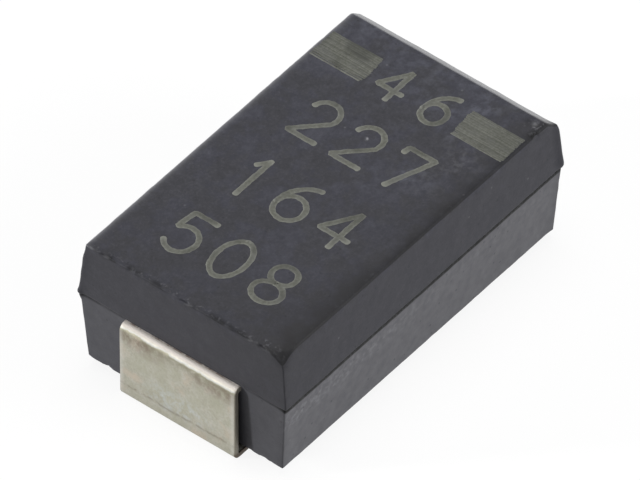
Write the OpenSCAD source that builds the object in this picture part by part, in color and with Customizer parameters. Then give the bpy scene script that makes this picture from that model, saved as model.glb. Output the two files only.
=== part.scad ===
// Moulded tantalum chip capacitor, case size 7343-31, for surface mounting.
// Millimetres. X runs along the length with the anode (+) end at +X, Y across it, Z up.
// The origin lies on the seating plane, under the middle of the part.

/* [Case] */
// Length of the case at its parting line
case_length = 7.08; // [6.9:0.02:7.3]
// Width of the case at its parting line
case_width = 4.26; // [4:0.02:4.6]
// Height of the lower half, from bottom face to parting line
lower_height = 1.42; // [1.3:0.01:1.6]
// Height of the upper half, from parting line to top face
upper_height = 1.11; // [0.95:0.01:1.3]
// Height of the bottom face above the seating plane
standoff = 0.2; // [0.18:0.01:0.3]
// Draft of the upper half's end walls, in degrees
upper_end_draft = 2.3; // [0.5:0.1:6]
// Draft of the upper half's long walls, in degrees
upper_side_draft = 5.1; // [0.5:0.1:8]
// Draft of the lower half's end walls, in degrees
lower_end_draft = 2.4; // [0.5:0.1:6]
// Draft of the lower half's long walls, in degrees
lower_side_draft = 3.8; // [0.5:0.1:8]
// Overhang of the upper half over the lower one at the parting line
parting_ledge = 0.02; // [0.005:0.005:0.05]
// Chamfer down each upright corner of the case
corner_chamfer = 0.06; // [0.02:0.01:0.2]
// Run and rise of the bevel that marks the anode end's top edge
polarity_bevel = 0.21; // [0.1:0.01:0.4]
// Side of the square glue pad under the case
glue_pad_side = 3.5; // [2:0.1:3.6]
// Height of the glue pad below the bottom face
glue_pad_height = 0.06; // [0.02:0.01:0.08]

/* [Lead frames] */
// Width of both lead frames outside the case
lead_width = 2.36; // [1.8:0.02:2.8]
// Thickness of the lead frame strip
lead_thickness = 0.1; // [0.08:0.01:0.12]
// Outer radius of the strip's bends
bend_radius = 0.12; // [0.12:0.01:0.16]
// Length of the solder foot, from the outer face of the riser
foot_length = 1.3; // [0.8:0.05:1.8]
// Gap between the riser and the case's parting line
riser_gap = 0.05; // [0.02:0.01:0.1]
// Depth of the strip's upper face below the parting line where it leaves the case
exit_depth = 0.05; // [0:0.01:0.1]
// Moulding between the cathode end and the step down to the paddle
cathode_end_wall = 0.35; // [0.25:0.01:0.45]
// Length of the paddle under the element, from the step
paddle_length = 3.1; // [2:0.1:4]
// Moulding between the anode end and the step down to the weld tab
anode_end_wall = 0.55; // [0.4:0.01:0.6]
// Length of the anode frame's weld tab, from the step
weld_tab_length = 0.94; // [0.6:0.02:1]
// Width of the anode frame's weld tab
weld_tab_width = 1.2; // [0.6:0.05:2]
// Drop from the strip's upper face at the exit to the weld tab's upper face
weld_tab_drop = 0.24; // [0.2:0.01:0.3]

/* [Element] */
// Moulding between the silver coat and the parting line's long sides
side_wall = 0.49; // [0.35:0.01:0.7]
// Moulding between the silver coat and the top face
top_wall = 0.43; // [0.35:0.01:0.55]
// Radius along the pellet's long edges
pellet_edge_radius = 0.15; // [0.05:0.01:0.4]
// Thickness of the conductive polymer coat
polymer_thickness = 0.04; // [0.02:0.005:0.05]
// Thickness of the carbon coat
carbon_thickness = 0.02; // [0.01:0.005:0.03]
// Thickness of the silver paint coat
silver_thickness = 0.03; // [0.02:0.005:0.04]
// How much further each coat stops from the pellet's wire face than the one below it
coat_setback = 0.12; // [0.05:0.01:0.25]
// Moulding between the silver coat and the cathode frame's step
step_clearance = 0.12; // [0.05:0.01:0.2]
// Thickness of the silver adhesive on the paddle
adhesive_thickness = 0.04; // [0.02:0.005:0.06]
// How far the adhesive stays back from the paddle's edges
adhesive_margin = 0.1; // [0.05:0.01:0.3]
// Diameter of the tantalum wire
wire_diameter = 0.3; // [0.2:0.01:0.4]
// Length of the wire sunk in the pellet
wire_embedded = 3; // [1:0.1:3.8]
// Gap between the wire's welded end and the anode frame's step
wire_end_gap = 0.22; // [0.1:0.01:0.4]
// How deep the weld sinks the wire into its tab
weld_sink = 0.02; // [0.01:0.005:0.05]
// Diameter of the washer on the wire
washer_diameter = 0.9; // [0.6:0.02:1.4]
// Thickness of the washer on the wire
washer_thickness = 0.12; // [0.05:0.01:0.2]
// Gap between the washer and the weld tab
washer_gap = 0.21; // [0.1:0.01:0.4]

/* [Marking] */
// Length of each polarity bar along the part
bar_length = 0.68; // [0.4:0.02:0.9]
// Width of each polarity bar across the part
bar_width = 0.98; // [0.5:0.02:1.2]
// Clear width between the two bars
bar_spacing = 1.96; // [1:0.02:2.2]
// Distance from the polarity bevel to the bars
bar_inset = 0.5; // [0.1:0.02:1]
// Depth of the burnt-in marking
mark_depth = 0.02; // [0.01:0.005:0.04]

/* [Hidden] */
$fn = 48;

// Spare length of a cutting shape past the face it cuts
cut_spare = 1;

// Heights above the seating plane
parting_z = standoff + lower_height;
top_z = parting_z + upper_height;
lead_top_z = parting_z - exit_depth;
weld_tab_z = lead_top_z - weld_tab_drop;
wire_z = weld_tab_z + wire_diameter / 2 - weld_sink;

// Coat thicknesses added up outwards from the pellet
polymer_skin = polymer_thickness;
carbon_skin = polymer_skin + carbon_thickness;
silver_skin = carbon_skin + silver_thickness;

// Distances from the middle of the part, along the length
case_end = case_length / 2;
lead_face = case_end + riser_gap + lead_thickness;
cathode_step = case_end - cathode_end_wall - lead_thickness;
anode_step = case_end - anode_end_wall - lead_thickness;
bevel_start = case_end - upper_height * tan(upper_end_draft) - polarity_bevel;

// The pellet fills what the walls, the frames and the coats leave of the case
pellet_back = -(cathode_step - step_clearance - silver_skin);
pellet_front = anode_step - weld_tab_length - washer_gap - washer_thickness;
pellet_length = pellet_front - pellet_back;
pellet_width = case_width - 2 * side_wall - 2 * silver_skin;
pellet_height = 2 * (top_z - top_wall - silver_skin - wire_z);
wire_end = anode_step - wire_end_gap;

// The paddle lies under the element, on its adhesive
paddle_top_z = wire_z - pellet_height / 2 - silver_skin - adhesive_thickness;
paddle_bottom_z = paddle_top_z - lead_thickness;

// Prism whose section in XZ is a trapezium: reach is half its length at height from_z,
// and each slanted side has come in by inset at height to_z
module drafted_prism(reach, inset, from_z, to_z) {
    rotate([90, 0, 0])
        linear_extrude(2 * case_length, center = true)
            polygon([[-reach, from_z], [reach, from_z], [reach - inset, to_z], [inset - reach, to_z]]);
}

// Half of the case: a block drafted on all four walls, with its upright corners chamfered
module drafted_block(length, width, from_z, to_z, end_draft, side_draft) {
    rise = abs(to_z - from_z);
    end_inset = rise * tan(end_draft);
    side_inset = rise * tan(side_draft);
    corner_reach = (length / 2 + width / 2 - corner_chamfer) / sqrt(2);
    intersection() {
        drafted_prism(length / 2, end_inset, from_z, to_z);
        rotate(90) drafted_prism(width / 2, side_inset, from_z, to_z);
        for (turn = [45, -45])
            rotate(turn) drafted_prism(corner_reach, (end_inset + side_inset) / sqrt(2), from_z, to_z);
    }
}

// Outside of the case: two drafted halves, the bevel at the anode end and the glue pad
module case_form() {
    difference() {
        union() {
            drafted_block(case_length, case_width, parting_z, top_z, upper_end_draft, upper_side_draft);
            drafted_block(case_length - 2 * parting_ledge, case_width - 2 * parting_ledge,
                          parting_z, standoff, lower_end_draft, lower_side_draft);
        }
        translate([bevel_start, 0, top_z])
            rotate([0, 45, 0])
                translate([0, -case_width, 0])
                    cube([case_length, 2 * case_width, cut_spare]);
    }
    translate([-glue_pad_side / 2, -glue_pad_side / 2, standoff - glue_pad_height])
        cube([glue_pad_side, glue_pad_side, glue_pad_height + lower_height / 10]);
}

// Turns a section drawn in XZ into a strip of the given width, centred on Y = 0
module strip(width) {
    rotate([90, 0, 0]) linear_extrude(width, center = true) children();
}

// Straight stretch of strip section between two opposite corners
module run(low, high) {
    translate(low) square(high - low);
}

// Quarter bend of strip section round a centre, starting at the given angle
module bend(centre, start) {
    translate(centre)
        rotate(start)
            intersection() {
                difference() {
                    circle(bend_radius);
                    circle(bend_radius - lead_thickness);
                }
                square(bend_radius);
            }
}

// Section of the foot, riser and shoulder, drawn towards +X; the shoulder ends at shoulder_end
module terminal_section(shoulder_end) {
    run([lead_face - foot_length, 0], [lead_face - bend_radius, lead_thickness]);
    bend([lead_face - bend_radius, bend_radius], 270);
    run([lead_face - lead_thickness, bend_radius], [lead_face, lead_top_z - bend_radius]);
    bend([lead_face - bend_radius, lead_top_z - bend_radius], 0);
    run([shoulder_end, lead_top_z - lead_thickness], [lead_face - bend_radius, lead_top_z]);
}

// Section of the step down inside the case and of the tongue that runs inwards from it
module tongue_section(step, tongue_bottom_z, length) {
    bend([step + bend_radius, lead_top_z - bend_radius], 90);
    run([step, tongue_bottom_z + bend_radius], [step + lead_thickness, lead_top_z - bend_radius]);
    bend([step + lead_thickness - bend_radius, tongue_bottom_z + bend_radius], 270);
    run([step - length, tongue_bottom_z],
        [step + lead_thickness - bend_radius, tongue_bottom_z + lead_thickness]);
}

// Cathode frame: foot, riser, step and the paddle that the element is glued to
module cathode_strip() {
    mirror([1, 0, 0])
        strip(lead_width) {
            terminal_section(cathode_step + bend_radius);
            tongue_section(cathode_step, paddle_bottom_z, paddle_length);
        }
}

// Anode frame: foot, riser, step and the narrower tab that the wire is welded to
module anode_strip() {
    strip(lead_width) terminal_section(anode_step + bend_radius);
    strip(weld_tab_width) tongue_section(anode_step, weld_tab_z - lead_thickness, weld_tab_length);
}

// Round bar along X between two distances, on the wire's axis
module wire_bar(diameter, from_x, to_x) {
    translate([from_x, 0, wire_z])
        rotate([0, 90, 0])
            cylinder(d = diameter, h = to_x - from_x);
}

// Pellet grown by skin on five sides and ending setback short of the wire face
module element_block(skin, setback) {
    half_width = pellet_width / 2 + skin;
    half_height = pellet_height / 2 + skin;
    radius = pellet_edge_radius + skin;
    translate([pellet_back - skin, 0, wire_z])
        rotate([90, 0, 90])
            linear_extrude(pellet_length + skin - setback) {
                square([2 * (half_width - radius), 2 * half_height], center = true);
                square([2 * half_width, 2 * (half_height - radius)], center = true);
                for (side = [-1, 1], level = [-1, 1])
                    translate([side * (half_width - radius), level * (half_height - radius)])
                        circle(radius);
            }
}

// Fields of the two polarity bars, sunk in the top face
module bar_fields() {
    for (side = [-1, 1])
        translate([bevel_start - bar_inset - bar_length,
                   side * (bar_spacing + bar_width) / 2 - bar_width / 2, top_z - mark_depth])
            cube([bar_length, bar_width, mark_depth]);
}

// Adhesive between the paddle and the underside of the silver coat
module adhesive_slab() {
    back = pellet_back - silver_skin;
    front = -(cathode_step - paddle_length) - adhesive_margin;
    width = lead_width - 2 * adhesive_margin;
    translate([back, -width / 2, paddle_top_z])
        cube([front - back, width, adhesive_thickness]);
}

module moulded_case() {
    color("#47474c")
        difference() {
            case_form();
            cathode_strip();
            anode_strip();
            adhesive_slab();
            element_block(0, 0);
            element_block(polymer_skin, 0);
            element_block(carbon_skin, coat_setback);
            element_block(silver_skin, 2 * coat_setback);
            wire_bar(wire_diameter, pellet_front, wire_end);
            wire_bar(washer_diameter, pellet_front, pellet_front + washer_thickness);
            bar_fields();
        }
}

module cathode_lead_frame() {
    color("#b9b5a8") cathode_strip();
}

module anode_lead_frame() {
    color("#b9b5a8")
        difference() {
            anode_strip();
            wire_bar(wire_diameter, pellet_front, wire_end);
        }
}

module anode_wire() {
    color("#8d9096") wire_bar(wire_diameter, pellet_front - wire_embedded, wire_end);
}

module wire_washer() {
    color("#f1f1ec")
        difference() {
            wire_bar(washer_diameter, pellet_front, pellet_front + washer_thickness);
            wire_bar(wire_diameter, pellet_front - cut_spare, pellet_front + cut_spare);
        }
}

module anode_pellet() {
    color("#5d5a63")
        difference() {
            element_block(0, 0);
            wire_bar(wire_diameter, pellet_front - wire_embedded, pellet_front + cut_spare);
        }
}

// Coat between two skins, open at the wire face
module coat(inner_skin, outer_skin, setback) {
    difference() {
        element_block(outer_skin, setback);
        element_block(inner_skin, -cut_spare);
    }
}

module polymer_coat() {
    color("#1d2230") coat(0, polymer_skin, 0);
}

module carbon_coat() {
    color("#2b2b2b") coat(polymer_skin, carbon_skin, coat_setback);
}

module silver_coat() {
    color("#c4c4c0") coat(carbon_skin, silver_skin, 2 * coat_setback);
}

module silver_adhesive() {
    color("#a8a8a2") adhesive_slab();
}

module polarity_bars() {
    color("#74766c") bar_fields();
}

moulded_case();
cathode_lead_frame();
anode_lead_frame();
anode_wire();
wire_washer();
anode_pellet();
polymer_coat();
carbon_coat();
silver_coat();
silver_adhesive();
polarity_bars();
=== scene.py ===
"""Looks of a moulded tantalum chip capacitor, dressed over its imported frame.

Shapes are written in millimetres and turned to metres when a mesh is made. X runs along the
part with the anode end at +X, Y runs across it, Z is up and the seating plane is Z = 0.
"""

import logging
import math
from dataclasses import dataclass
from enum import Enum

import bmesh
import bpy
import numpy as np
from mathutils import Matrix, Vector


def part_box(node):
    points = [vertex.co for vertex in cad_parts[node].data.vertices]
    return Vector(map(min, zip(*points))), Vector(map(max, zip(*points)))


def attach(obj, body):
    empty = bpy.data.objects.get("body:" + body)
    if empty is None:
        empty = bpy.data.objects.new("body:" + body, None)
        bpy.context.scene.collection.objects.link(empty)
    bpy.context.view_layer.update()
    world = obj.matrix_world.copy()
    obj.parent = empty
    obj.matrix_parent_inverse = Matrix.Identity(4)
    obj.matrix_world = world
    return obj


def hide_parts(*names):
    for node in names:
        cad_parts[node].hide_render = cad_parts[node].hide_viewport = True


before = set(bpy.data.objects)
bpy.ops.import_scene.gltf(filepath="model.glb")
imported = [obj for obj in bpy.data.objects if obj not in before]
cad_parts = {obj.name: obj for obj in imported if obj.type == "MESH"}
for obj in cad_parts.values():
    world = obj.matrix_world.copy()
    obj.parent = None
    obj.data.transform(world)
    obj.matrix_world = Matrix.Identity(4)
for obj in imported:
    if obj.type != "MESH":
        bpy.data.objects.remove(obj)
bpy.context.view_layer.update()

MM = 0.001
LOG = logging.getLogger("chip_capacitor")

# Inputs of a range node: the two values that it reads, and what it gives at them.
RANGE = ("From Min", "From Max", "To Min", "To Max")

Array = np.ndarray
Tree = bpy.types.NodeTree
Socket = bpy.types.NodeSocket


# ---------------------------------------------------------------- arrays and meshes


def box_mm(node: str) -> tuple[Array, Array]:
    """Lowest and highest corner of a CAD node at rest, in millimetres.

    Args:
        node: Name of the CAD node.

    Returns:
        The two corners as arrays of three numbers.
    """
    low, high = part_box(node)
    return np.array(low) / MM, np.array(high) / MM


def lattice_noise(points: Array, cell: float, seed: int) -> Array:
    """Smooth noise between -1 and 1.

    Every corner of a cubic lattice gets a scrambled number, and inside a cell the eight
    corner numbers are blended by the curve 3 t^2 - 2 t^3 along each axis.

    Args:
        points: Array whose last axis holds X, Y and Z in millimetres.
        cell: Side of a lattice cell in millimetres.
        seed: Number that picks the pattern.

    Returns:
        One number for each point.
    """
    place = points / cell
    corner = np.floor(place).astype(np.int64)
    part = place - corner
    part = part * part * (3 - 2 * part)
    total = np.zeros(points.shape[:-1])
    for offset in np.ndindex(2, 2, 2):
        key = (corner + np.array(offset)).astype(np.uint64)
        mixed = (key[..., 0] * np.uint64(73856093)) ^ (key[..., 1] * np.uint64(19349663))
        mixed ^= (key[..., 2] * np.uint64(83492791)) ^ np.uint64(seed * 2654435761)
        mixed = (mixed ^ (mixed >> np.uint64(15))) * np.uint64(2246822519)
        mixed = (mixed ^ (mixed >> np.uint64(13))) & np.uint64(0xFFFFFF)
        weight = np.prod(np.where(np.array(offset) == 1, part, 1 - part), axis=-1)
        total += weight * (mixed.astype(float) / 0x7FFFFF - 1)
    return total


def layered_noise(points: Array, cell: float, seed: int, layers: int = 3) -> Array:
    """Sum of lattice noises, each with half the cell and half the height of the one before.

    Args:
        points: Array whose last axis holds X, Y and Z in millimetres.
        cell: Side of the coarsest cell in millimetres.
        seed: Number that picks the pattern.
        layers: How many noises are added.

    Returns:
        One number for each point, roughly between -1 and 1.
    """
    total = sum(0.5**k * lattice_noise(points, cell * 0.5**k, seed + k) for k in range(layers))
    return total / (2 - 0.5 ** (layers - 1))


def smooth_step(value: Array, start: float, end: float) -> Array:
    """Rises from 0 at start to 1 at end along 3 t^2 - 2 t^3."""
    t = np.clip((value - start) / (end - start), 0, 1)
    return t * t * (3 - 2 * t)


def soft_positive(value: Array, width: float) -> Array:
    """The positive part of a value, with its kink rounded over about the given width."""
    return (value + np.sqrt(value * value + width * width)) / 2


def bell(value: Array, width: float | Array) -> Array:
    """Is 1 at 0 and falls on both sides along exp(-(value / width)^2)."""
    return np.exp(-((value / width) ** 2))


def spot(points: Array, place: Array | tuple[float, ...], reach: float) -> Array:
    """Bell round a place, measured along as many axes as the place has."""
    return bell(np.linalg.norm(points[:, :len(place)] - place, axis=1), reach)


def slope(degrees: float) -> float:
    """How far a wall with this draft draws in over each millimetre of height."""
    return math.tan(math.radians(degrees))


def grid_faces(ids: Array) -> Array:
    """Quads of a grid of vertex numbers, whose normals are first axis crossed with second."""
    corners = [ids[:-1, :-1], ids[1:, :-1], ids[1:, 1:], ids[:-1, 1:]]
    return np.stack(corners, axis=-1).reshape(-1, 4)


def tube_faces(rings: int, around: int) -> Array:
    """Quads of a grid whose second axis closes on itself."""
    ids = np.arange(rings * around).reshape(rings, around)
    return grid_faces(np.concatenate([ids, ids[:, :1]], axis=1))


def vertex_normals(points: Array, quads: Array) -> Array:
    """Unit normals of vertices: the sum of the crossed diagonals of the quads round each one."""
    corners = points[quads]
    crossed = np.cross(corners[:, 2] - corners[:, 0], corners[:, 3] - corners[:, 1])
    normals = np.zeros_like(points)
    for k in range(4):
        np.add.at(normals, quads[:, k], crossed)
    return normals / np.maximum(np.linalg.norm(normals, axis=1, keepdims=True), 1e-12)


def make_piece(name: str, points: Array, quads: Array,
               attributes: dict[str, Array] | None = None) -> bpy.types.Object:
    """Makes a smooth-shaded object at the origin from arrays of points and quads.

    Args:
        name: Name of the object and its mesh.
        points: Vertices in millimetres, one row each.
        quads: Vertex numbers, four a row.
        attributes: Numbers for each vertex, by attribute name.

    Returns:
        The object, with coinciding vertices merged and its faces pointing outwards.
    """
    mesh = bpy.data.meshes.new(name)
    mesh.vertices.add(len(points))
    mesh.vertices.foreach_set("co", (points * MM).astype(np.float32).ravel())
    mesh.loops.add(quads.size)
    mesh.loops.foreach_set("vertex_index", quads.astype(np.int32).ravel())
    mesh.polygons.add(len(quads))
    mesh.polygons.foreach_set("loop_start", np.arange(0, quads.size, 4, dtype=np.int32))
    mesh.update(calc_edges=True)
    for key, values in (attributes or {}).items():
        layer = mesh.attributes.new(key, "FLOAT", "POINT")
        layer.data.foreach_set("value", values.astype(np.float32).ravel())
    work = bmesh.new()
    work.from_mesh(mesh)
    bmesh.ops.remove_doubles(work, verts=work.verts, dist=1e-7)
    bmesh.ops.dissolve_degenerate(work, edges=work.edges, dist=1e-8)
    bmesh.ops.recalc_face_normals(work, faces=work.faces)
    work.to_mesh(mesh)
    work.free()
    mesh.polygons.foreach_set("use_smooth", np.ones(len(mesh.polygons), dtype=bool))
    mesh.update()
    piece = bpy.data.objects.new(name, mesh)
    bpy.context.scene.collection.objects.link(piece)
    return piece


# ---------------------------------------------------------------- materials


def linear(colour: str) -> tuple[float, float, float, float]:
    """Turns an sRGB hex colour such as "46464c" into linear red, green, blue and alpha."""
    channels = [int(colour[k:k + 2], 16) / 255 for k in (0, 2, 4)]
    return (*[c / 12.92 if c <= 0.04045 else ((c + 0.055) / 1.055) ** 2.4 for c in channels], 1.0)


def per_metre(size: float) -> float:
    """Texture scale whose features are about this many millimetres across."""
    return 1 / (size * MM)


def add_node(tree: Tree, kind: str, settings: dict | None = None,
             links: dict | None = None, out: str | None = None) -> Socket | None:
    """Adds a shader node with its settings and its incoming links.

    Args:
        tree: Node tree of the material or world.
        kind: Node type after "ShaderNode".
        settings: Values by attribute name, or by input name or number. A string set on an
            input is an sRGB hex colour. "stops" are a ramp's places, each with such a colour.
        links: Output sockets by input name or number.
        out: Name of the output that is wanted.

    Returns:
        The named output, or the first one in use, or nothing where the node has none.
    """
    node = tree.nodes.new("ShaderNode" + kind)
    for key, value in (settings or {}).items():
        if key == "stops":
            elements = node.color_ramp.elements
            while len(elements) < len(value):
                elements.new(0.5)
            for element, (place, colour) in zip(elements, value):
                element.position, element.color = place, linear(colour)
        elif isinstance(key, str) and hasattr(node, key):
            setattr(node, key, value)
        else:
            node.inputs[key].default_value = linear(value) if isinstance(value, str) else value
    for key, socket in (links or {}).items():
        tree.links.new(socket, node.inputs[key])
    return node.outputs[out] if out else next((s for s in node.outputs if s.enabled), None)


def new_material(name: str) -> tuple[bpy.types.Material, Tree]:
    """Makes a node material with nothing in its tree."""
    material = bpy.data.materials.new(name)
    material.use_nodes = True
    material.node_tree.nodes.clear()
    return material, material.node_tree


def close_tree(tree: Tree, bumps: list[tuple[Socket, float]], settings: dict, links: dict,
               strength: float = 0.5) -> None:
    """Ends a material with its bumps, its shader and its output.

    Args:
        tree: Node tree of the material.
        bumps: Height patterns from the lowest up, each with its height in millimetres.
        settings: Values of the shader.
        links: Sockets that feed the shader.
        strength: Strength of the bumps.
    """
    normal = {}
    for height, size in bumps:
        normal = {"Normal": add_node(tree, "Bump", {"Strength": strength, "Distance": size * MM},
                                     {"Height": height, **normal})}
    surface = add_node(tree, "BsdfPrincipled", settings, {**links, **normal})
    add_node(tree, "OutputMaterial", links={"Surface": surface})


@dataclass(frozen=True)
class MouldedEpoxy:
    """Black transfer-moulding epoxy with silica filler.

    It is charcoal with a faint blue cast, matt, finely grained and clouded, because filler lies
    unevenly under the moulded skin. The lower half is greyer, most of all on its long walls, partly
    where handling has worn the skin and partly as painted light from the floor below. Along the top
    edges the skin is painted darker, as painted shade of their rounding, and where an edge is
    pitted the pale filler is bared. Painted shade also lies over the right of the top and the
    cathode end, painted light towards the anode end, and a painted reflection on the left edge and
    the bevel.

    Attributes:
        grain: Size of the finest mottle in millimetres.
        blot: Size of the mottle over it.
        cloud: Size of the clouds.
        speck_pitch: Size of the cells that may hold a pale dot.
        fleck_pitch: Size of the cells that may hold a dark fleck.
        roughness: Roughness of the moulded skin.
        polished: Roughness of the bevel.
    """

    grain: float = 0.045
    blot: float = 0.14
    cloud: float = 0.42
    speck_pitch: float = 0.30
    fleck_pitch: float = 0.16
    roughness: float = 0.50
    polished: float = 0.24

    def material(self) -> bpy.types.Material:
        """Builds the node material."""
        material, tree = new_material("moulded_silica_epoxy")
        place = add_node(tree, "TexCoord", out="Object")
        fine, medium, patch = (
            add_node(tree, "TexNoise", {"Scale": per_metre(size), "Detail": 3.0, "Roughness": 0.6},
                     {"Vector": place}) for size in (self.grain, self.blot, self.cloud))
        grains, blots, clouds = (
            add_node(tree, "ValToRGB", {"stops": stops}, {0: noise}) for noise, stops in (
                (fine, [(0.32, "2a2a2e"), (0.46, "36363b"), (0.56, "3d3d43"), (0.70, "535359")]),
                (medium, [(0.32, "2c2c31"), (0.50, "38383d"), (0.68, "48484f")]),
                (patch, [(0.32, "2f2f33"), (0.46, "37373c"), (0.56, "3a3b47"), (0.68, "4c4d58")])))
        face, rim, polish = (add_node(tree, "Attribute", {"attribute_name": name}, out="Fac")
                             for name in ("face", "rim", "polish"))
        base = add_node(tree, "Mix", {"data_type": "RGBA", 0: 0.5}, {6: grains, 7: blots})
        cloudy = add_node(tree, "Mix", {"data_type": "RGBA", 0: 0.38}, {6: base, 7: clouds})
        calm = add_node(tree, "Mix", {"data_type": "RGBA", 0: 0.65, 7: "3a3a40"}, {6: base})
        colour = add_node(tree, "Mix", {"data_type": "RGBA"}, {0: face, 6: calm, 7: cloudy})
        ragged = add_node(tree, "MapRange", dict(zip(RANGE, (0.35, 0.6, 0.84, 1.12))),
                          {"Value": fine})
        rim = add_node(tree, "Math", {"operation": "MULTIPLY", "use_clamp": True},
                       {0: rim, 1: ragged})
        layers = [
            # Paler lower half: partly worn by handling, partly painted light from the floor below.
            (self.marked(tree, place, "rubbed", 0.15, (0.30, 0.70, 0.72, 1.05)), "747478"),
            (self.marked(tree, place, "scuffed", 0.10, (0.46, 0.74, 0.0, 1.0)), "88888d"),
            # Haze marks on the right of the top, and painted light towards the anode end.
            (self.marked(tree, place, "hazed", 0.14, (0.42, 0.66, 0.10, 1.0)), "727480"),
            # Painted shade over the right of the top and on the cathode end.
            (self.marked(tree, place, "sooty", 0.30, (0.30, 0.60, 0.75, 1.15)), "272628"),
            (self.dots(tree, place, self.speck_pitch, 0.09, 0.86, 0.13), "a9a9ab"),
            (self.dots(tree, place, self.fleck_pitch, 0.17, 0.62, 0.50), "252529"),
            # Painted shade along the top edges, under the parting line and at the worn corner, with
            # blotches on the cathode edge.
            (rim, "1b1b1b"),
            # Painted reflection on the left edge and the bevel, and pale specks in the skin.
            (self.marked(tree, place, "pale", 0.06, (0.30, 0.50, 0.80, 1.0)), "a6a6aa"),
            (self.marked(tree, place, "bared", 0.08, (0.55, 0.72, 0.0, 0.62)), "7f7f84"),
        ]
        for amount, tone in layers:
            colour = add_node(tree, "Mix", {"data_type": "RGBA", 7: tone}, {0: amount, 6: colour})
        rough = add_node(tree, "MapRange", {"To Min": self.roughness - 0.05,
                                            "To Max": self.roughness + 0.12}, {"Value": patch})
        rough = add_node(tree, "MapRange", {"To Max": self.polished},
                         {"Value": polish, "To Min": rough})
        gloss = add_node(tree, "MapRange", {"To Min": 0.22, "To Max": 0.08}, {"Value": rim})
        close_tree(tree, [(medium, 0.006), (fine, 0.004)], {}, {
            "Base Color": colour, "Roughness": rough, "Specular IOR Level": gloss})
        return material

    def marked(self, tree: Tree, place: Socket, name: str, size: float,
               limits: tuple[float, float, float, float]) -> Socket:
        """Breaks one of the skin's tones up into marks.

        Args:
            tree: Node tree of the material.
            place: Object coordinates.
            name: Attribute that holds the tone.
            size: Size of a mark in millimetres.
            limits: Noise at which the marks begin and are full, and their strength there.

        Returns:
            The tone times the marks, from 0 to 1.
        """
        noise = add_node(tree, "TexNoise", {"Scale": per_metre(size), "Detail": 2.0,
                                            "Roughness": 0.55}, {"Vector": place})
        marks = add_node(tree, "MapRange", dict(zip(RANGE, limits)), {"Value": noise})
        tone = add_node(tree, "Attribute", {"attribute_name": name}, out="Fac")
        return add_node(tree, "Math", {"operation": "MULTIPLY", "use_clamp": True},
                        {0: tone, 1: marks})

    def dots(self, tree: Tree, place: Socket, pitch: float, reach: float, spared: float,
             strength: float) -> Socket:
        """Scatters dots, one in each cell that its random colour picks.

        Args:
            tree: Node tree of the material.
            place: Object coordinates.
            pitch: Size of a cell in millimetres.
            reach: Radius of a dot as a share of its cell.
            spared: Share of the cells without a dot.
            strength: How much a dot covers.

        Returns:
            The dots' amount.
        """
        cells = add_node(tree, "TexVoronoi", {"Scale": per_metre(pitch)}, {"Vector": place})
        red = add_node(tree, "SeparateColor", links={0: cells.node.outputs["Color"]})
        picked = add_node(tree, "Math", {"operation": "GREATER_THAN", 1: spared}, {0: red})
        dot = add_node(tree, "MapRange", dict(zip(RANGE, (reach, 0.5 * reach, 0, strength))),
                       {"Value": cells})
        return add_node(tree, "Math", {"operation": "MULTIPLY"}, {0: dot, 1: picked})


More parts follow.
